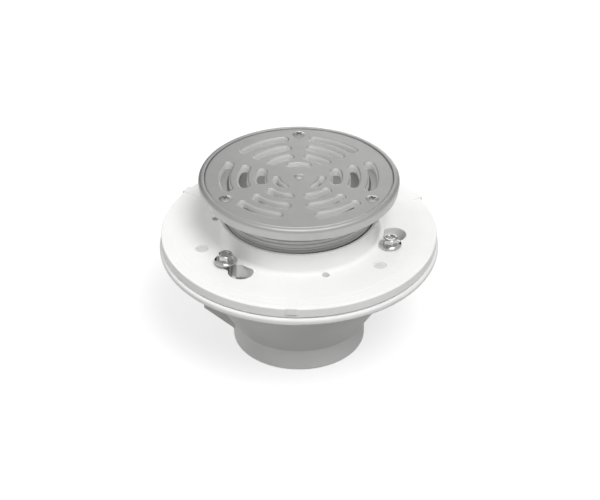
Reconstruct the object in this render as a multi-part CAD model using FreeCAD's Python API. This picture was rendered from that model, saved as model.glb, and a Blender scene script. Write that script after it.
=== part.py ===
import FreeCAD, Part
import math
import os

# A shower drain for a tiled floor. A moulded body has a pipe hub below and a wide flange above.
# A keyholed ring lies on the flange and clamps the floor's waterproof sheet there, held by
# three bolts. A round slotted strainer sits in the frame of a threaded shank, which screws up
# and down in the ring's collar to meet the tiles.
# The origin is the centre of the hub's lower end, and +Z runs up the drain's axis.

# Driving dimensions in millimetres and degrees

# Pipe hub of the body
pipe_diameter = 60.3
socket_clearance = 0.15
socket_depth = 19.0
socket_lead_in = 1.2
hub_wall = 6.1
hub_edge_round = 1.0
pipe_stop_width = 4.3
throat_length = 3.0
throat_round = 1.5

# Bowl and flange of the body
bowl_foot_height = 12.8
bowl_slope = 58.0
bowl_floor_slope = 30.0
bowl_wall = 6.0
bowl_floor_round = 6.0
seat_height = 60.4
seat_thickness = 5.4
flange_radius = 75.5
flange_lip_width = 4.9
flange_lip_rise = 1.5
flange_lip_thickness = 4.0
flange_lip_round = 1.7
flange_under_round = 1.2
dish_step_width = 8.0
dish_round = 1.5

# Gussets between the hub and the bowl
gusset_count = 2
gusset_first_angle = 187.0
gusset_thickness = 6.0
gusset_reach = 52.8
gusset_foot_height = 7.1
gusset_slope = 43.2

# Bolts and the bosses that take them
bolt_count = 3
bolt_collar_gap = 1.5
bolt_first_angle = 101.6
bolt_radius = 3.0
bolt_length = 25.0
bolt_flange_radius = 6.1
bolt_flange_edge = 0.7
bolt_flange_height = 1.5
bolt_hex_width = 7.2
bolt_hex_height = 3.2
bolt_hex_chamfer = 0.5
bolt_dish_radius = 2.5
bolt_dish_depth = 0.5
bolt_tip_chamfer = 0.6
bolt_slack = 0.5
bolt_thread_clearance = 0.05
loose_bolt = 1
loose_bolt_rise = 1.6
bolt_hole_spare = 1.0
boss_radius = 5.2
boss_floor = 3.0
boss_top_gap = 0.4

# Clamping ring with its collar and keyholes
ring_thickness = 7.9
ring_setback = 1.0
ring_seam = 0.4
ring_step_clearance = 0.6
ring_edge_round = 0.7
ring_border_width = 1.8
ring_border_drop = 0.15
ring_band_count = 2
ring_band_width = 3.3
ring_band_drop = 0.1
collar_height = 11.6
collar_wall = 1.95
collar_taper = 0.6
collar_fillet = 2.2
collar_edge_round = 0.5
collar_lead_in = 1.0
keyhole_turn = 12.0
keyhole_bolt_clearance = 0.5
keyhole_head_clearance = 0.7
weep_radius = 2.0
weep_edge_gap = 0.6
weep_turn = -54.0
dimple_radius = 3.5
dimple_depth = 0.8
dimple_bolt_offset = 3.8
dimple_turn = -21.0
rib_width = 5.6
rib_rise = 0.2
rib_turn = 45.6
lug_reach = 0.8
lug_height = 3.0

# Strainer shank and its frame
shank_radius = 40.7
shank_wall = 2.4
shank_length = 32.0
shank_chamfer = 1.0
thread_clearance = 0.55
strainer_lift = 15.3
strainer_overhang = 13.3
frame_ledge = 2.2
frame_rim_width = 3.5
frame_rim_round = 2.4
frame_inner_round = 0.5
frame_taper = 1.0
frame_under_round = 0.8
frame_fillet = 1.2

# Strainer plate with its slots
plate_thickness = 4.2
plate_clearance = 0.25
plate_sink = 0.3
plate_edge_round = 0.9
slot_width = 4.6
slot_rings = 3
slot_ring_pitch = 9.6
slot_over_ledge = 1.3
slots_per_ring = 6
slot_half_span = 20.9
front_spoke_angle = 270.0
front_spoke_trim = 4.0
centre_slot_count = 3
centre_slot_width = 3.0
centre_slot_gap = 4.2
centre_slot_half_span = 28.2
centre_slot_angle = 90.0
slot_edge_round = 1.2
centre_dome_radius = 2.6
centre_dome_rise = 0.7

# Screws that hold the plate in the frame
screw_count = 3
screw_shank_offset = 3.5
screw_first_angle = 90.0
screw_radius = 1.6
screw_head_radius = 3.4
screw_dome_rise = 0.7
screw_clearance = 0.1
screw_end_gap = 0.3
cross_slot_width = 0.9
cross_slot_depth = 0.9
cross_slot_length = 3.6
cross_slot_turn = 45.0

# Levels and radii that follow from the driving dimensions
origin = FreeCAD.Vector(0, 0, 0)
up = FreeCAD.Vector(0, 0, 1)
hexagon_sides = 6
level_tolerance = 1e-4
socket_radius = pipe_diameter / 2 + socket_clearance
hub_radius = socket_radius + hub_wall
throat_radius = socket_radius - pipe_stop_width
throat_top = socket_depth + throat_length
seat_under = seat_height - seat_thickness
lip_inner_radius = flange_radius - flange_lip_width
lip_top = seat_height + flange_lip_rise
lip_under = lip_top - flange_lip_thickness
ring_top = seat_height + ring_thickness
ring_lip_under = lip_top + ring_seam
ring_radius = flange_radius - ring_setback
collar_bore = shank_radius + thread_clearance
collar_outer = collar_bore + collar_wall
bolt_circle_radius = collar_outer + collar_taper + bolt_collar_gap + bolt_flange_radius
collar_top = ring_top + collar_height
frame_under = collar_top + strainer_lift
ledge_top = frame_under + frame_ledge
plate_top = ledge_top + plate_thickness
frame_top = plate_top + plate_sink
shank_bore = shank_radius - shank_wall
strainer_radius = shank_radius + strainer_overhang
screw_circle_radius = shank_radius + screw_shank_offset
frame_inner_radius = strainer_radius - frame_rim_width
keyhole_head_radius = bolt_flange_radius + keyhole_head_clearance
keyhole_slot_half = bolt_radius + keyhole_bolt_clearance


def polar(radius, angle, height=0.0):
    """The point at a radius and an angle about the drain's axis."""
    turn = math.radians(angle)
    return FreeCAD.Vector(radius * math.cos(turn), radius * math.sin(turn), height)


def evenly(count, first_angle):
    """The angles of a ring of like features."""
    return [first_angle + 360.0 * index / count for index in range(count)]


def revolved(corners):
    """Turns a half-section about the axis. Each corner is (radius, height, rounding)."""
    points = [FreeCAD.Vector(radius, 0, height) for radius, height, rounding in corners]
    edges = []
    leaving = []
    entering = []
    for index, corner in enumerate(corners):
        point = points[index]
        back = (points[index - 1] - point).normalize()
        ahead = (points[(index + 1) % len(points)] - point).normalize()
        rounding = corner[2]
        half_angle = back.getAngle(ahead) / 2
        setback = rounding / math.tan(half_angle)
        entering.append(point + back * setback)
        leaving.append(point + ahead * setback)
        if rounding > 0:
            middle = (back + ahead).normalize() * (rounding / math.sin(half_angle) - rounding)
            edges.append(Part.Arc(entering[index], point + middle, leaving[index]).toShape())
    for index in range(len(points)):
        following = (index + 1) % len(points)
        edges.append(Part.makeLine(leaving[index], entering[following]))
    section = Part.Face(Part.Wire(Part.__sortEdges__(edges)))
    return section.revolve(origin, up, 360)


def cylinder_at(radius, angle, size, low, high):
    """A round bar parallel to the axis."""
    return Part.makeCylinder(size, high - low, polar(radius, angle, low), up)


def arc_slot(radius, width, first_angle, last_angle, low, high):
    """A curved bar with round ends, whose end centres lie at the two angles."""
    half = width / 2
    inner = radius - half
    outer = radius + half
    middle = (first_angle + last_angle) / 2
    outer_arc = Part.Arc(polar(outer, first_angle), polar(outer, middle), polar(outer, last_angle))
    last_end = polar(radius, last_angle) + polar(half, last_angle + 90)
    last_arc = Part.Arc(polar(outer, last_angle), last_end, polar(inner, last_angle))
    inner_arc = Part.Arc(polar(inner, last_angle), polar(inner, middle), polar(inner, first_angle))
    first_end = polar(radius, first_angle) + polar(half, first_angle - 90)
    first_arc = Part.Arc(polar(inner, first_angle), first_end, polar(outer, first_angle))
    outline = Part.Wire([arc.toShape() for arc in (outer_arc, last_arc, inner_arc, first_arc)])
    bar = Part.Face(outline).extrude(up * (high - low))
    bar.translate(up * low)
    return bar


def rounded_rims(shape, height, reach, rounding):
    """Rounds every edge that lies flat at a height and within a reach of the axis."""
    chosen = []
    for edge in shape.Edges:
        box = edge.BoundBox
        flat = abs(box.ZMin - height) < level_tolerance and abs(box.ZMax - height) < level_tolerance
        farthest = max(math.hypot(vertex.X, vertex.Y) for vertex in edge.Vertexes)
        if flat and farthest < reach:
            chosen.append(edge)
    return shape.makeFillet(rounding, chosen)


def cone_radius(height, inset):
    """The bowl's outer radius at a height, or its inner radius with the wall as inset."""
    slope = math.radians(bowl_slope)
    return hub_radius + (height - bowl_foot_height) / math.tan(slope) - inset / math.sin(slope)


def drain_body():
    """The moulded body: pipe hub, bowl, flange, two gussets and three bolt bosses."""
    dish_radius = flange_radius - dish_step_width
    body = revolved([
        (0, 0, 0),
        (hub_radius, 0, hub_edge_round),
        (hub_radius, bowl_foot_height, 0),
        (cone_radius(seat_under, 0.0), seat_under, 0),
        (dish_radius, seat_under, dish_round),
        (dish_radius, lip_under, 0),
        (flange_radius, lip_under, flange_under_round),
        (flange_radius, lip_top, flange_lip_round),
        (lip_inner_radius, lip_top, 0),
        (lip_inner_radius, seat_height, 0),
        (0, seat_height, 0),
    ])
    gusset_rise = math.tan(math.radians(gusset_slope))
    root_radius = socket_radius + hub_wall / 2
    root_height = gusset_foot_height + gusset_rise * (root_radius - hub_radius)
    tip_height = gusset_foot_height + gusset_rise * (gusset_reach - hub_radius)
    outline = [
        FreeCAD.Vector(root_radius, -gusset_thickness / 2, root_height),
        FreeCAD.Vector(gusset_reach, -gusset_thickness / 2, tip_height),
        FreeCAD.Vector(gusset_reach, -gusset_thickness / 2, seat_under + seat_thickness / 2),
        FreeCAD.Vector(root_radius, -gusset_thickness / 2, seat_under + seat_thickness / 2),
    ]
    gusset = Part.Face(Part.makePolygon(outline + outline[:1]))
    gusset = gusset.extrude(FreeCAD.Vector(0, gusset_thickness, 0))
    for angle in evenly(gusset_count, gusset_first_angle):
        turned = gusset.copy()
        turned.rotate(origin, up, angle)
        body = body.fuse(turned)
    floor_run = 1 / math.tan(math.radians(bowl_floor_slope))
    wall_run = 1 / math.tan(math.radians(bowl_slope))
    spread = cone_radius(0.0, bowl_wall) - throat_radius
    floor_height = (spread + throat_top * floor_run) / (floor_run - wall_run)
    body = body.cut(revolved([
        (0, 0, 0),
        (socket_radius + socket_lead_in, 0, 0),
        (socket_radius, socket_lead_in, 0),
        (socket_radius, socket_depth, 0),
        (throat_radius, socket_depth, 0),
        (throat_radius, throat_top, throat_round),
        (cone_radius(floor_height, bowl_wall), floor_height, bowl_floor_round),
        (cone_radius(seat_height, bowl_wall), seat_height, 0),
        (0, seat_height, 0),
    ]))
    hole_low = ring_top + bolt_slack - bolt_length - bolt_hole_spare
    boss_low = hole_low - boss_floor
    boss_top = seat_height - boss_top_gap
    hole_radius = bolt_radius + bolt_thread_clearance
    for angle in evenly(bolt_count, bolt_first_angle):
        body = body.fuse(cylinder_at(bolt_circle_radius, angle, boss_radius, boss_low, boss_top))
        body = body.cut(cylinder_at(bolt_circle_radius, angle, hole_radius, hole_low, seat_height))
    return body.removeSplitter()


def clamping_ring():
    """The ring that clamps the sheet: collar, stepped rim, low ribs, keyholes and weep holes."""
    step_radius = lip_inner_radius - ring_step_clearance
    border_radius = ring_radius - ring_border_width
    border_top = ring_top - ring_band_count * ring_band_drop - ring_border_drop
    bands = []
    for band in range(ring_band_count):
        band_radius = border_radius - (band + 1) * ring_band_width
        band_top = ring_top - (ring_band_count - band) * ring_band_drop
        bands.append((band_radius, band_top, 0))
        bands.append((band_radius - ring_band_drop, band_top + ring_band_drop, 0))
    ring = revolved([
        (collar_bore + collar_lead_in, seat_height, 0),
        (step_radius, seat_height, ring_edge_round),
        (step_radius, ring_lip_under, 0),
        (ring_radius, ring_lip_under, ring_edge_round),
        (ring_radius, border_top, ring_edge_round),
        (border_radius, border_top, 0),
        (border_radius - ring_border_drop, border_top + ring_border_drop, 0),
        *bands,
        (collar_outer + collar_taper, ring_top, collar_fillet),
        (collar_outer, collar_top, collar_edge_round),
        (collar_bore, collar_top, collar_edge_round),
        (collar_bore, seat_height + collar_lead_in, 0),
    ])
    for angle in evenly(bolt_count, bolt_first_angle):
        rib_length = ring_radius + lug_reach - collar_outer
        rib_low = border_top - lug_height
        rib = Part.makeBox(rib_length, rib_width, ring_top + rib_rise - rib_low)
        rib.translate(FreeCAD.Vector(collar_outer, -rib_width / 2, rib_low))
        rib.rotate(origin, up, angle + rib_turn)
        ring = ring.fuse(rib)
    weep_circle = collar_outer + collar_taper + weep_edge_gap + weep_radius
    for angle in evenly(bolt_count, bolt_first_angle):
        hole_angle = angle + keyhole_turn
        neck_width = 2 * keyhole_slot_half
        neck = arc_slot(bolt_circle_radius, neck_width, angle, hole_angle, seat_height, ring_top)
        mouth = cylinder_at(
            bolt_circle_radius, hole_angle, keyhole_head_radius, seat_height, ring_top
        )
        ring = ring.cut(neck.fuse(mouth))
        weep = cylinder_at(weep_circle, angle + weep_turn, weep_radius, seat_height, collar_top)
        ring = ring.cut(weep)
        dimple_low = ring_top - dimple_depth
        dimple_circle = bolt_circle_radius + dimple_bolt_offset
        dimple = cylinder_at(dimple_circle, angle + dimple_turn, dimple_radius, dimple_low, ring_top)
        ring = ring.cut(dimple)
    return ring.removeSplitter()


def strainer_shank():
    """The shank that screws into the collar, with the round frame that holds the plate."""
    frame = revolved([
        (shank_bore, frame_under - shank_length, 0),
        (shank_radius - shank_chamfer, frame_under - shank_length, 0),
        (shank_radius, frame_under - shank_length + shank_chamfer, 0),
        (shank_radius, frame_under, frame_fillet),
        (strainer_radius - frame_taper, frame_under, frame_under_round),
        (strainer_radius, frame_top, frame_rim_round),
        (frame_inner_radius, frame_top, frame_inner_round),
        (frame_inner_radius, ledge_top, 0),
        (shank_bore, ledge_top, 0),
    ])
    for angle in evenly(screw_count, screw_first_angle):
        hole_radius = screw_radius + screw_clearance
        frame = frame.cut(
            cylinder_at(screw_circle_radius, angle, hole_radius, frame_under, ledge_top)
        )
    return frame


def strainer_plate():
    """The slotted grate: rings of curved slots between spokes, and three round the centre."""
    plate_radius = frame_inner_radius - plate_clearance
    plate = revolved([
        (0, ledge_top, 0),
        (plate_radius, ledge_top, 0),
        (plate_radius, plate_top, plate_edge_round),
        (0, plate_top, 0),
    ])
    outer_ring_radius = shank_bore + slot_over_ledge
    for ring in range(slot_rings):
        radius = outer_ring_radius - ring * slot_ring_pitch
        end_turn = math.degrees(math.asin(slot_width / 2 / radius))
        for angle in evenly(slots_per_ring, 0.0):
            first = angle - slot_half_span + end_turn
            last = angle + slot_half_span - end_turn
            beside_front = abs(angle - front_spoke_angle) < 360.0 / slots_per_ring
            if ring == 0 and beside_front and angle < front_spoke_angle:
                last -= front_spoke_trim
            if ring == 0 and beside_front and angle > front_spoke_angle:
                first += front_spoke_trim
            plate = plate.cut(arc_slot(radius, slot_width, first, last, ledge_top, plate_top))
    inner_ring_edge = outer_ring_radius - (slot_rings - 1) * slot_ring_pitch - slot_width / 2
    centre_slot_radius = inner_ring_edge - centre_slot_gap - centre_slot_width / 2
    end_turn = math.degrees(math.asin(centre_slot_width / 2 / centre_slot_radius))
    for angle in evenly(centre_slot_count, centre_slot_angle):
        first = angle - centre_slot_half_span + end_turn
        last = angle + centre_slot_half_span - end_turn
        plate = plate.cut(
            arc_slot(centre_slot_radius, centre_slot_width, first, last, ledge_top, plate_top)
        )
    plate = rounded_rims(plate, plate_top, plate_radius - slot_width / 2, slot_edge_round)
    dome_curve = (centre_dome_radius ** 2 + centre_dome_rise ** 2) / (2 * centre_dome_rise)
    dome_top = plate_top + centre_dome_rise
    dome = Part.makeSphere(dome_curve, up * (dome_top - dome_curve))
    plate = plate.fuse(dome.common(cylinder_at(0, 0, centre_dome_radius, ledge_top, dome_top)))
    for angle in evenly(screw_count, screw_first_angle):
        plate = plate.cut(screw_blank(angle, screw_clearance))
    return plate


def screw_blank(angle, growth):
    """A countersunk screw with a domed head, or with growth, the hole that takes it."""
    head = screw_head_radius + growth
    body = screw_radius + growth
    low = frame_under + screw_end_gap
    blank = revolved([
        (0, low, 0),
        (body, low, 0),
        (body, plate_top - head + body, 0),
        (head, plate_top, 0),
        (0, plate_top, 0),
    ])
    blank.translate(polar(screw_circle_radius, angle))
    return blank


def strainer_screws():
    """The three screws through the plate, each with a cross recess in its domed head."""
    dome_curve = (screw_head_radius ** 2 + screw_dome_rise ** 2) / (2 * screw_dome_rise)
    dome_top = plate_top + screw_dome_rise
    screws = []
    for angle in evenly(screw_count, screw_first_angle):
        centre = polar(screw_circle_radius, angle, dome_top - dome_curve)
        dome = Part.makeSphere(dome_curve, centre)
        cap = cylinder_at(screw_circle_radius, angle, screw_head_radius, plate_top, dome_top)
        screw = screw_blank(angle, 0.0).fuse(dome.common(cap))
        for turn in (cross_slot_turn, cross_slot_turn + 90.0):
            bar = Part.makeBox(cross_slot_length, cross_slot_width, cross_slot_depth)
            bar.translate(FreeCAD.Vector(-cross_slot_length / 2, -cross_slot_width / 2, 0))
            bar.rotate(origin, up, angle + turn)
            bar.translate(polar(screw_circle_radius, angle, dome_top - cross_slot_depth))
            screw = screw.cut(bar)
        screws.append(screw)
    return Part.makeCompound(screws)


def clamp_bolts():
    """The three flanged hexagon bolts, backed off so that the ring can turn; one stands proud."""
    corner_radius = bolt_hex_width / math.sqrt(3)
    flange_top = bolt_flange_height
    head_top = bolt_flange_height + bolt_hex_height
    bolts = []
    for index, angle in enumerate(evenly(bolt_count, bolt_first_angle)):
        seat = ring_top + bolt_slack
        if index == loose_bolt:
            seat += loose_bolt_rise
        stem = revolved([
            (0, -bolt_length, 0),
            (bolt_radius - bolt_tip_chamfer, -bolt_length, 0),
            (bolt_radius, -bolt_length + bolt_tip_chamfer, 0),
            (bolt_radius, 0, 0),
            (bolt_flange_radius, 0, 0),
            (bolt_flange_radius, bolt_flange_edge, 0),
            (corner_radius, flange_top, 0),
            (0, flange_top, 0),
        ])
        corners = [polar(corner_radius, side) for side in evenly(hexagon_sides, 0.0)]
        hexagon = Part.Face(Part.makePolygon(corners + corners[:1])).extrude(up * head_top)
        trim = revolved([
            (0, 0, 0),
            (corner_radius, 0, 0),
            (corner_radius, head_top - bolt_hex_chamfer, 0),
            (bolt_hex_width / 2 - bolt_hex_chamfer / 2, head_top, 0),
            (0, head_top, 0),
        ])
        dish = revolved([
            (0, head_top - bolt_dish_depth, 0),
            (bolt_dish_radius - bolt_dish_depth, head_top - bolt_dish_depth, 0),
            (bolt_dish_radius, head_top, 0),
            (0, head_top, 0),
        ])
        bolt = stem.fuse(hexagon.common(trim)).cut(dish)
        bolt.rotate(origin, up, angle)
        bolt.translate(polar(bolt_circle_radius, angle, seat))
        bolts.append(bolt.removeSplitter())
    return Part.makeCompound(bolts)


pieces = {
    "drain_body": drain_body(),
    "clamping_ring": clamping_ring(),
    "clamp_bolts": clamp_bolts(),
    "strainer_shank": strainer_shank(),
    "strainer_plate": strainer_plate(),
    "strainer_screws": strainer_screws(),
}
os.makedirs("parts", exist_ok=True)
for name, shape in pieces.items():
    shape.exportStep(os.path.join("parts", name + ".step"))
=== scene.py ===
import math
import bmesh
import bpy
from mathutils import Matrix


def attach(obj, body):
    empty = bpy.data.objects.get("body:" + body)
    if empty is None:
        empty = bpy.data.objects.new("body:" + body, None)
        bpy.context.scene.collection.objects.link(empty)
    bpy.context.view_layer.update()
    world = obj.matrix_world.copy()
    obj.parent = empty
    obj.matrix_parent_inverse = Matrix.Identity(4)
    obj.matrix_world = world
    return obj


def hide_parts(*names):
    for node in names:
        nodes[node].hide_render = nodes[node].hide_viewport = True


# A shower drain as it comes out of its box: a white moulded body and clamping ring, three bright
# bolts, and a satin metal strainer on a threaded shank. Lengths are written in millimetres.
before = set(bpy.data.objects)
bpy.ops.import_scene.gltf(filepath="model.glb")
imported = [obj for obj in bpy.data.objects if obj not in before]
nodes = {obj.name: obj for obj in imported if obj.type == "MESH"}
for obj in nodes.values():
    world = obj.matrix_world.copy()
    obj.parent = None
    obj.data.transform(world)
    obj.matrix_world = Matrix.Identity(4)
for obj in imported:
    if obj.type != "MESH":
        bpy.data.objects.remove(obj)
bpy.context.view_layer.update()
bpy.ops.object.select_all(action="DESELECT")


# Drain body
# One white PVC moulding: pipe hub, bowl, flange, two gussets and bolt bosses. The CAD solid is
# shown as it is, with the slightly uneven gloss that a mould leaves.

mm = 0.001


def linear(code):
    """An sRGB hex colour as linear red, green, blue and alpha."""
    channels = [int(code[start:start + 2], 16) / 255 for start in (1, 3, 5)]
    return [c / 12.92 if c <= 0.04045 else ((c + 0.055) / 1.055) ** 2.4 for c in channels] + [1.0]


def feed(material, node, inputs):
    """Gives a shader node its inputs, each a plain value or another node's output."""
    for socket, value in inputs.items():
        if isinstance(value, bpy.types.NodeSocket):
            material.node_tree.links.new(value, node.inputs[socket])
        else:
            node.inputs[socket].default_value = value


def add(material, kind, inputs, **settings):
    """Adds one shader node with its settings and inputs."""
    node = material.node_tree.nodes.new("ShaderNode" + kind)
    for setting, value in settings.items():
        setattr(node, setting, value)
    feed(material, node, inputs)
    return node


def finish(name, light, dark, smooth, rough, cloud_size, grain_size, grain_depth, **constants):
    """A material whose tone and gloss drift over cloud_size, with a fine grain raised on it."""
    cloud_low, cloud_high = 0.3, 0.7
    material = bpy.data.materials.new(name)
    material.use_nodes = True
    shader = material.node_tree.nodes["Principled BSDF"]
    place = add(material, "TexCoord", {}).outputs["Object"]
    cloud = add(material, "TexNoise", {
        "Vector": place, "Scale": 1 / (cloud_size * mm), "Detail": 3.0})
    grain = add(material, "TexNoise", {
        "Vector": place, "Scale": 1 / (grain_size * mm), "Detail": 2.0})
    tone = add(material, "Mix", {
        0: cloud.outputs["Fac"], 6: linear(light), 7: linear(dark)}, data_type="RGBA")
    gloss = add(material, "MapRange", {
        "Value": cloud.outputs["Fac"], "From Min": cloud_low, "From Max": cloud_high,
        "To Min": smooth, "To Max": rough})
    relief = add(material, "Bump", {
        "Height": grain.outputs["Fac"], "Distance": grain_depth * mm, "Strength": 1.0})
    feed(material, shader, {
        "Base Color": tone.outputs[2], "Roughness": gloss.outputs["Result"],
        "Normal": relief.outputs["Normal"], **constants})
    return material


# Moulded PVC: a clean white with a soft sheen that drifts over some 20 mm, where the melt cooled
# unevenly. The mould's grain is finer than this, and is drawn 0.9 mm wide so that it shows.
pvc_ior = 1.53
body_pvc = finish(
    "white_moulded_pvc", light="#F3F3F2", dark="#E9E9E8", smooth=0.40, rough=0.52,
    cloud_size=22.0, grain_size=0.9, grain_depth=0.006, IOR=pvc_ior)
nodes["drain_body"].material_slots[0].material = body_pvc


# Clamping ring
# A second white PVC moulding, held down on the flange by the bolts. The CAD solid is shown as it
# is; the collar's inside thread and the marks of the mould's ejector pins are added to it.

ring_top = 68.3
bolt_angles = [101.6 + 120.0 * index for index in range(3)]
collar_bore, collar_thread_low, collar_thread_turns = 41.25, 63.0, 7
collar_ridge, collar_crest_width = 0.25, 0.4
thread_pitch, thread_foot_width, thread_sink = 2.2, 1.9, 0.2
# Vertices closer than weld are merged, and one within near of a place is taken to be there.
weld, near, crease = 0.001, 0.01, math.radians(35)


def pick(piece, wanted):
    """Selects the vertices of the piece being edited whose place in millimetres passes a test."""
    bpy.ops.mesh.select_all(action="DESELECT")
    mesh = bmesh.from_edit_mesh(piece.data)
    for vertex in mesh.verts:
        vertex.select_set(wanted(vertex.co / mm))
    mesh.select_flush(True)
    bmesh.update_edit_mesh(piece.data)


def cleaned():
    """Merges doubles, drops loose edges, turns faces outwards and leaves edit mode."""
    bpy.ops.mesh.select_all(action="SELECT")
    bpy.ops.mesh.remove_doubles(threshold=weld * mm)
    bpy.ops.mesh.delete_loose()
    bpy.ops.mesh.select_all(action="SELECT")
    bpy.ops.mesh.normals_make_consistent(inside=False)
    bpy.ops.object.mode_set(mode="OBJECT")
    bpy.ops.object.shade_smooth_by_angle(angle=crease)


def coil(name, root, crest, root_width, crest_width, pitch, low, turns, steps):
    """A screw thread's ridge: a tapered outline carried round and up, with pointed ends."""
    bpy.ops.mesh.primitive_plane_add(size=1, rotation=(math.pi / 2, 0, 0))
    bpy.ops.object.transform_apply(rotation=True)
    piece = bpy.context.object
    piece.name = name
    bpy.ops.object.mode_set(mode="EDIT")
    bpy.ops.mesh.select_all(action="SELECT")
    bpy.ops.mesh.delete(type="ONLY_FACE")
    bpy.ops.mesh.select_all(action="SELECT")
    bpy.ops.transform.resize(value=((crest - root) * mm, 1, root_width * mm))
    bpy.ops.transform.translate(value=((crest + root) / 2 * mm, 0, low * mm))
    pick(piece, lambda place: abs(place.x - crest) < near)
    bpy.ops.transform.resize(value=(1, 1, crest_width / root_width))
    bpy.ops.object.mode_set(mode="OBJECT")
    screw = piece.modifiers.new("thread", "SCREW")
    screw.screw_offset = pitch * mm
    screw.iterations = turns
    screw.steps = steps
    screw.render_steps = steps
    bpy.ops.object.modifier_apply(modifier="thread")
    bpy.ops.object.mode_set(mode="EDIT")
    for end in (low, low + turns * pitch):
        pick(piece, lambda place: place.x > 0 and abs(place.y) < weld
             and abs(place.z - end) < pitch / 2)
        bpy.ops.mesh.merge(type="CENTER")
    cleaned()
    return piece


def placed(piece, body, material):
    """Gives a piece its material and the CAD body that it moves with."""
    piece.data.materials.clear()
    piece.data.materials.append(material)
    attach(piece, body)


# The same moulded PVC as the body, a shade whiter and glossier, as it comes from a polished mould.
ring_pvc = finish(
    "white_moulded_pvc_ring", light="#F6F6F5", dark="#ECECEB", smooth=0.36, rough=0.48,
    cloud_size=22.0, grain_size=0.9, grain_depth=0.006, IOR=pvc_ior)
nodes["clamping_ring"].material_slots[0].material = ring_pvc

collar_thread = coil(
    "collar_thread", root=collar_bore + thread_sink, crest=collar_bore - collar_ridge,
    root_width=thread_foot_width, crest_width=collar_crest_width, pitch=thread_pitch,
    low=collar_thread_low, turns=collar_thread_turns, steps=128)
placed(collar_thread, "ring", ring_pvc)

pin_circle, pin_turn, dimple_depth = 55.2, -21.0, 0.8
pin_floor = ring_top - dimple_depth
pin_radius, pin_rise, pin_rounding = 3.3, 0.1, 0.06


def turned(name, corners, steps):
    """Spins a half-section about the upright axis. Each corner is (radius, height, rounding)."""
    bpy.ops.mesh.primitive_plane_add(size=mm)
    piece = bpy.context.object
    piece.name = name
    bpy.ops.object.mode_set(mode="EDIT")
    bpy.ops.mesh.select_all(action="SELECT")
    bpy.ops.mesh.merge(type="CENTER")
    radius, height = 0.0, 0.0
    for index, corner in enumerate(corners + corners[:1]):
        move = ((corner[0] - radius) * mm, 0, (corner[1] - height) * mm)
        if index == 0:
            bpy.ops.transform.translate(value=move)
        else:
            bpy.ops.mesh.extrude_vertices_move(TRANSFORM_OT_translate={"value": move})
        radius, height = corner[0], corner[1]
    bpy.ops.mesh.select_all(action="SELECT")
    bpy.ops.mesh.remove_doubles(threshold=weld * mm)
    for radius, height, rounding in corners:
        if rounding > 0:
            pick(piece, lambda place: abs(place.x - radius) + abs(place.z - height) < near)
            bpy.ops.mesh.bevel(offset=rounding * mm, segments=4, affect="VERTICES")
    bpy.ops.mesh.select_all(action="SELECT")
    bpy.ops.mesh.spin(steps=steps, angle=math.tau, center=(0, 0, 0), axis=(0, 0, 1))
    cleaned()
    return piece


def copied(pattern, name, turn, place):
    """A copy with its own mesh, turned about the upright axis and then moved in millimetres.

    With no window the rotate operator turns the other way, so its angle is negative.
    """
    bpy.ops.object.select_all(action="DESELECT")
    pattern.select_set(True)
    bpy.context.view_layer.objects.active = pattern
    bpy.ops.object.duplicate()
    piece = bpy.context.object
    piece.name = name
    bpy.ops.object.mode_set(mode="EDIT")
    bpy.ops.mesh.select_all(action="SELECT")
    bpy.ops.transform.rotate(value=-turn, orient_axis="Z", center_override=(0, 0, 0))
    bpy.ops.transform.translate(value=[length * mm for length in place])
    bpy.ops.object.mode_set(mode="OBJECT")
    return piece


# PVC that a steel pin pushed out of the mould: duller and greyer than the skin round it, with the
# pin's ground end printed on it.
pin_pvc = finish(
    "pvc_under_ejector_pin", light="#DDDDDC", dark="#CFCFCE", smooth=0.55, rough=0.7,
    cloud_size=3.0, grain_size=0.5, grain_depth=0.01, IOR=pvc_ior)
pin_pattern = turned("pin_pattern", [
    (0, pin_floor - pin_rise, 0),
    (pin_radius, pin_floor - pin_rise, 0),
    (pin_radius, pin_floor + pin_rise, pin_rounding),
    (0, pin_floor + pin_rise, 0),
], steps=48)
for index, angle in enumerate(bolt_angles):
    turn = math.radians(angle + pin_turn)
    pin = copied(pin_pattern, "ring_pin_mark_%d" % (index + 1), 0,
                 (pin_circle * math.cos(turn), pin_circle * math.sin(turn), 0))
    placed(pin, "ring", pin_pvc)
bpy.data.objects.remove(pin_pattern)


# Clamp bolts
# Three bright stainless bolts, cold headed: a hexagon with a dished top on a round flange, and a
# rolled thread below. They stand in for the CAD bolts, whose stems are plain.

bolt_circle = 51.4
bolt_seats = [ring_top + gap for gap in (0.5, 2.1, 0.5)]
bolt_length, bolt_root, bolt_crest = 25.0, 2.55, 3.0
bolt_pitch, bolt_thread_turns, bolt_thread_start = 1.0, 22, 1.2
bolt_foot_width, bolt_crest_width, bolt_thread_sink = 0.9, 0.12, 0.1
tip_inset, tip_rise = 0.55, 0.6
neck_low, neck_high = 1.6, 1.1
flange_radius, flange_edge, flange_top, flange_slope = 6.1, 0.7, 1.5, 1.3
head_flat, head_top, head_edge = 3.6, 4.7, 0.1
blank_radius, crown_radius, crown_drop = 4.36, 3.3, 0.8
dish_edge, dish_floor_radius, dish_side, dish_depth = 2.5, 1.8, 0.45, 0.5


def hexagonal(piece, blank, flat, crown, slope, top, foot):
    """Draws a spun blank's round side in to a hexagon, with its top edge on the crown's cone."""
    mesh = bmesh.new()
    mesh.from_mesh(piece.data)
    for vertex in mesh.verts:
        if abs(vertex.co.xy.length / mm - blank) < near:
            turn = math.atan2(vertex.co.y, vertex.co.x) % (math.pi / 3) - math.pi / 6
            side = flat / math.cos(turn)
            vertex.co.xy *= side / blank
            if vertex.co.z / mm > foot + near:
                vertex.co.z = (top - (side - crown) * slope) * mm
    mesh.to_mesh(piece.data)
    mesh.free()


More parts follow.
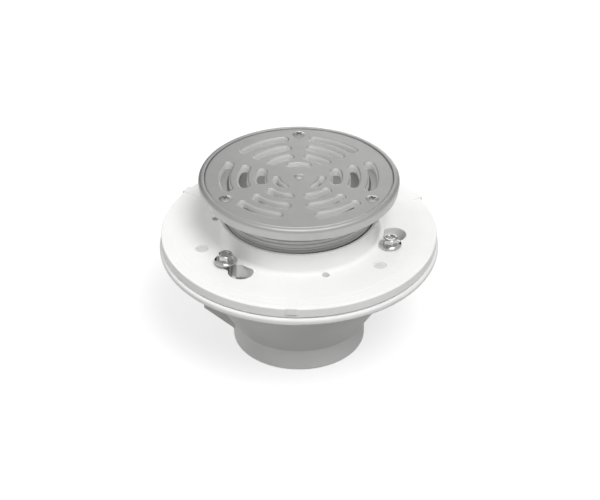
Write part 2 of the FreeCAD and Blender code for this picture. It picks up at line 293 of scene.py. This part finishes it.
def bevelled(piece, width, segments):
    """Rounds the sharp edges of a piece."""
    modifier = piece.modifiers.new("edges", "BEVEL")
    modifier.width = width * mm
    modifier.segments = segments
    modifier.limit_method = "ANGLE"
    modifier.angle_limit = math.radians(40)
    bpy.context.view_layer.objects.active = piece
    bpy.ops.object.modifier_apply(modifier="edges")


def joined(pieces):
    """Makes one object of several and returns it."""
    bpy.ops.object.select_all(action="DESELECT")
    for piece in pieces:
        piece.select_set(True)
    bpy.context.view_layer.objects.active = pieces[0]
    bpy.ops.object.join()
    return pieces[0]


# Stainless steel, cold formed in polished dies: bright, with sharp reflections that waver a little
# over a few millimetres. Its fine die marks are drawn 0.4 mm wide so that they show.
bolt_steel = finish(
    "bright_stainless_steel", light="#D8D8D7", dark="#C8C8C7", smooth=0.10, rough=0.2,
    cloud_size=2.5, grain_size=0.4, grain_depth=0.003, Metallic=1.0)
bolt_pattern = turned("bolt_pattern", [
    (0, -bolt_length, 0),
    (bolt_root - tip_inset, -bolt_length, 0),
    (bolt_root, -bolt_length + tip_rise, 0),
    (bolt_root, -neck_low, 0),
    (bolt_crest, -neck_high, 0),
    (bolt_crest, 0, 0),
    (flange_radius, 0, 0.2),
    (flange_radius, flange_edge, 0.3),
    (flange_radius - flange_slope, flange_top, 0.3),
    (blank_radius, flange_top, 0),
    (blank_radius, head_top - crown_drop, 0),
    (crown_radius, head_top, 0.3),
    (dish_edge, head_top, 0.2),
    (dish_floor_radius, head_top - dish_side, 0.4),
    (0, head_top - dish_depth, 0),
], steps=72)
hexagonal(bolt_pattern, blank_radius, head_flat, crown_radius,
          crown_drop / (blank_radius - crown_radius), head_top, flange_top)
bevelled(bolt_pattern, head_edge, segments=2)
bolt_thread = coil(
    "bolt_thread", root=bolt_root - bolt_thread_sink, crest=bolt_crest,
    root_width=bolt_foot_width, crest_width=bolt_crest_width, pitch=bolt_pitch,
    low=-bolt_length + bolt_thread_start, turns=bolt_thread_turns, steps=32)
bolt_pattern = joined([bolt_pattern, bolt_thread])
bpy.ops.object.mode_set(mode="EDIT")
cleaned()
for index, angle in enumerate(bolt_angles):
    turn = math.radians(angle)
    bolt = copied(
        bolt_pattern, "clamp_bolt_%d" % (index + 1), turn,
        (bolt_circle * math.cos(turn), bolt_circle * math.sin(turn), bolt_seats[index]))
    placed(bolt, "drain", bolt_steel)
    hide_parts("clamp_bolts")
bpy.data.objects.remove(bolt_pattern)


# Strainer shank
# A turned metal tube with a coarse outside thread, and above it the round frame that carries the
# plate. It stands in for the CAD shank, which is plain where the thread runs.

shank_low, frame_under, ledge_top, frame_top = 63.2, 95.2, 97.4, 101.9
shank_bore, thread_root, thread_crest = 38.3, 40.1, 40.7
shank_chamfer, shank_crest_width = 0.6, 0.35
thread_reach = thread_crest + 0.1
shank_thread_start, shank_thread_turns = 1.6, 13
rim_radius, rim_taper, frame_inner = 54.0, 1.0, 50.5
screw_angles = [90.0 + 120.0 * index for index in range(3)]
screw_circle, screw_hole_radius, drill_length = 44.2, 1.7, 12.0

shank = turned("strainer_shank_threaded", [
    (shank_bore, shank_low, 0.2),
    (thread_root - shank_chamfer, shank_low, 0),
    (thread_root, shank_low + shank_chamfer, 0),
    (thread_root, frame_under, 1.2),
    (rim_radius - rim_taper, frame_under, 0.8),
    (rim_radius, frame_top, 2.4),
    (frame_inner, frame_top, 0.5),
    (frame_inner, ledge_top, 0),
    (shank_bore, ledge_top, 0.2),
], steps=192)
for angle in screw_angles:
    turn = math.radians(angle)
    bpy.ops.mesh.primitive_cylinder_add(
        vertices=32, radius=screw_hole_radius * mm, depth=drill_length * mm,
        location=(screw_circle * math.cos(turn) * mm, screw_circle * math.sin(turn) * mm,
                  ledge_top * mm))
    drill = bpy.context.object
    hole = shank.modifiers.new("screw_hole", "BOOLEAN")
    hole.object = drill
    hole.operation = "DIFFERENCE"
    hole.solver = "EXACT"
    bpy.context.view_layer.objects.active = shank
    bpy.ops.object.modifier_apply(modifier="screw_hole")
    bpy.data.objects.remove(drill)
shank_thread = coil(
    "shank_thread", root=thread_root - thread_sink, crest=thread_crest,
    root_width=thread_foot_width, crest_width=shank_crest_width, pitch=thread_pitch,
    low=shank_low + shank_thread_start, turns=shank_thread_turns, steps=192)
shank = joined([shank, shank_thread])
bpy.ops.object.shade_smooth_by_angle(angle=crease)

# Cast metal, ground and brushed to a satin: an even light grey with broad, soft highlights. The
# brushing is far finer than its 0.5 mm grain here, which is drawn that coarse so that it shows.
rim_metal = finish(
    "satin_cast_rim_metal", light="#C8C8C7", dark="#BEBEBD", smooth=0.44, rough=0.54,
    cloud_size=14.0, grain_size=0.5, grain_depth=0.004, Metallic=1.0)
# The same metal as the thread-cutting tool leaves it: a little darker and duller.
shank_metal = finish(
    "turned_thread_metal", light="#C4C4C3", dark="#B5B5B4", smooth=0.50, rough=0.60,
    cloud_size=14.0, grain_size=0.5, grain_depth=0.004, Metallic=1.0)
placed(shank, "strainer", rim_metal)
shank.data.materials.append(shank_metal)
bpy.ops.object.mode_set(mode="EDIT")
pick(shank, lambda place: math.hypot(place.x, place.y) < thread_reach)
shank.active_material_index = 1
bpy.ops.object.material_slot_assign()
bpy.ops.object.mode_set(mode="OBJECT")
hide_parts("strainer_shank")


# Strainer plate
# A cast and finished metal plate with rounded slots, lying in the frame. The CAD solid is shown as
# it is: satin on top, and with painted light on the walls of the slots.

# The top has the rim's satin. The walls of the slots, told from the top by how steeply they face,
# are rougher and less metallic, and are painted a paler grey than the top: painted light on them.
painted_wall_light_grey, wall_metallic, wall_rough = "#E0E0DF", 0.25, 0.8
top_facing, wall_facing = 0.8, 0.3
plate_metal = finish(
    "satin_cast_metal", light="#C8C8C7", dark="#BEBEBD", smooth=0.44, rough=0.54,
    cloud_size=14.0, grain_size=0.5, grain_depth=0.004, Metallic=1.0)
shader = plate_metal.node_tree.nodes["Principled BSDF"]
colour = shader.inputs["Base Color"].links[0].from_socket
polish = shader.inputs["Roughness"].links[0].from_socket
normal = add(plate_metal, "TexCoord", {}).outputs["Normal"]
facing = add(plate_metal, "SeparateXYZ", {"Vector": normal})
wall_dulling_and_painted_light = add(plate_metal, "MapRange", {
    "Value": facing.outputs["Z"], "From Min": top_facing, "From Max": wall_facing})
# Painted light: steep faces are mixed towards a paler grey than the top.
grey = add(plate_metal, "Mix", {
    0: wall_dulling_and_painted_light.outputs["Result"], 6: colour, 7: linear(painted_wall_light_grey)}, data_type="RGBA")
bare = add(plate_metal, "MapRange", {
    "Value": wall_dulling_and_painted_light.outputs["Result"], "To Min": 1.0, "To Max": wall_metallic})
dull = add(plate_metal, "Mix", {0: wall_dulling_and_painted_light.outputs["Result"], 2: polish, 3: wall_rough})
feed(plate_metal, shader, {
    "Base Color": grey.outputs[2], "Metallic": bare.outputs["Result"],
    "Roughness": dull.outputs[0]})
nodes["strainer_plate"].material_slots[0].material = plate_metal


# Strainer screws
# Three small steel screws with domed heads and cross recesses, which hold the plate down in the
# frame. The CAD solids are shown as they are.

# Tumbled steel: the plate's satin, a little smoother, so that the domes catch small highlights.
screw_steel = finish(
    "satin_screw_steel", light="#C0C0BF", dark="#B4B4B3", smooth=0.36, rough=0.44,
    cloud_size=2.5, grain_size=0.4, grain_depth=0.003, Metallic=1.0)
nodes["strainer_screws"].material_slots[0].material = screw_steel


# Studio
# A white sheet under the drain and white air round it. A soft key lamp stands high in front to the
# right, a wide fill lamp at the left, and a small lamp inside the shank. Dark cards at the sides
# and bright cards behind and above are seen by polished surfaces alone.

floor_size = 8.0
floor_white, floor_bounce = "#A9A9A9", "#808080"
floor_glow, floor_sheen, floor_rough = 0.66, 0.50, 0.95
lamp_white = linear("#FFFFFF")

bpy.ops.mesh.primitive_plane_add(size=floor_size)
floor = bpy.context.object
floor.name = "studio_floor"
# White paper, lit from behind as far as the camera and polished surfaces see it, so that it is
# white round the object and still holds its shadow.
floor_paper = bpy.data.materials.new("white_paper_sheet")
floor_paper.use_nodes = True
path = add(floor_paper, "LightPath", {})
seen = add(floor_paper, "Math", {
    0: path.outputs["Is Camera Ray"], 1: path.outputs["Is Glossy Ray"]}, operation="MAXIMUM")
sheet = add(floor_paper, "Mix", {
    0: seen.outputs[0], 6: linear(floor_bounce), 7: linear(floor_white)}, data_type="RGBA")
sheen = add(floor_paper, "Math", {
    0: path.outputs["Is Glossy Ray"], 1: floor_sheen}, operation="MULTIPLY")
glow = add(floor_paper, "Math", {
    0: path.outputs["Is Camera Ray"], 1: floor_glow, 2: sheen.outputs[0]},
    operation="MULTIPLY_ADD")
feed(floor_paper, floor_paper.node_tree.nodes["Principled BSDF"], {
    "Base Color": sheet.outputs[2], "Roughness": floor_rough, "Specular IOR Level": 0.0,
    "Emission Color": lamp_white, "Emission Strength": glow.outputs[0]})
floor.data.materials.append(floor_paper)


def sun(name, spread, energy, turn, height):
    """A far lamp, seen by dull surfaces alone, at a turn about the axis and a height in degrees."""
    data = bpy.data.lights.new(name, "SUN")
    data.angle = math.radians(spread)
    data.energy = energy
    lamp = bpy.data.objects.new(name, data)
    turn, height = math.radians(turn), math.radians(height)
    lamp.location = (
        math.cos(height) * math.cos(turn), math.cos(height) * math.sin(turn), math.sin(height))
    lamp.rotation_euler = lamp.location.to_track_quat("Z", "Y").to_euler()
    lamp.visible_glossy = False
    bpy.context.scene.collection.objects.link(lamp)


sun("key_lamp", spread=27.0, energy=1.98, turn=-65.0, height=57.0)
sun("fill_lamp", spread=80.0, energy=0.64, turn=180.0, height=34.0)

pipe_lamp_width, pipe_lamp_height, pipe_lamp_watts = 60.0, 66.0, 0.006
pipe_lamp_data = bpy.data.lights.new("pipe_lamp", "AREA")
pipe_lamp_data.shape = "DISK"
pipe_lamp_data.size = pipe_lamp_width * mm
pipe_lamp_data.energy = pipe_lamp_watts
pipe_lamp = bpy.data.objects.new("pipe_lamp", pipe_lamp_data)
pipe_lamp.location = (0, 0, pipe_lamp_height * mm)
pipe_lamp.rotation_euler = (math.pi, 0, 0)
pipe_lamp.visible_camera = False
bpy.context.scene.collection.objects.link(pipe_lamp)

# Black card and white glowing card. Places and sizes of the cards are in metres.
card_black, card_rough = "#1E1E1E", 0.9
level, upright_across, upright_along = (0, 0, 0), (math.pi / 2, 0, 0), (0, math.pi / 2, 0)
for name, card_glow, place, turn, width, height in (
    ("flag_left", 0.0, (-0.45, 0.85, 0.2), upright_along, 0.9, 0.9),
    ("flag_right", 0.0, (0.45, 0.85, 0.2), upright_along, 0.9, 0.9),
    ("back_card", 2.5, (0.08, 0.32, 0.10), upright_across, 0.24, 0.20),
    ("top_card", 2.4, (0.1, -0.15, 0.9), level, 0.6, 0.6),
):
    paper = bpy.data.materials.new(name)
    paper.use_nodes = True
    feed(paper, paper.node_tree.nodes["Principled BSDF"], {
        "Base Color": linear(card_black), "Roughness": card_rough,
        "Emission Color": lamp_white, "Emission Strength": card_glow})
    bpy.ops.mesh.primitive_plane_add(size=1.0, location=place, rotation=turn)
    card = bpy.context.object
    card.name = name
    card.scale = (width, height, 1.0)
    card.data.materials.append(paper)
    card.visible_camera = False
    card.visible_diffuse = False
    card.visible_shadow = False

# The air is white to the camera, an even grey to polished surfaces, and to dull ones brighter
# overhead than at the sides.
sky_low, sky_high, sky_gloss, sky_seen = 0.15, 0.69, 0.58, 1.0
world = bpy.data.worlds.new("white_studio")
bpy.context.scene.world = world
world.use_nodes = True
path = add(world, "LightPath", {})
direction = add(world, "TexCoord", {}).outputs["Generated"]
ray = add(world, "SeparateXYZ", {"Vector": direction})
sky = add(world, "MapRange", {
    "Value": ray.outputs["Z"], "To Min": sky_low, "To Max": sky_high})
mirrored = add(world, "Mix", {
    0: path.outputs["Is Glossy Ray"], 2: sky.outputs["Result"], 3: sky_gloss})
air = add(world, "Mix", {
    0: path.outputs["Is Camera Ray"], 2: mirrored.outputs[0], 3: sky_seen})
feed(world, world.node_tree.nodes["Background"], {
    "Color": lamp_white, "Strength": air.outputs[0]})


# Camera
# Stands a little over a metre away and looks down at the strainer, as in the photograph.

camera_distance, camera_height, camera_dip = 874.374, 640.078, 33.814
camera_film, camera_lens, camera_shift = 36.0, 115.8, 0.0018
camera_data = bpy.data.cameras.new("photo_camera")
camera_data.sensor_width = camera_film
camera_data.lens = camera_lens
camera_data.shift_x = camera_shift
camera = bpy.data.objects.new("photo_camera", camera_data)
camera.location = (0, -camera_distance * mm, camera_height * mm)
camera.rotation_euler = (math.radians(90.0 - camera_dip), 0, 0)
bpy.context.scene.collection.objects.link(camera)
bpy.context.scene.camera = camera
bpy.context.scene.view_settings.view_transform = "Standard"
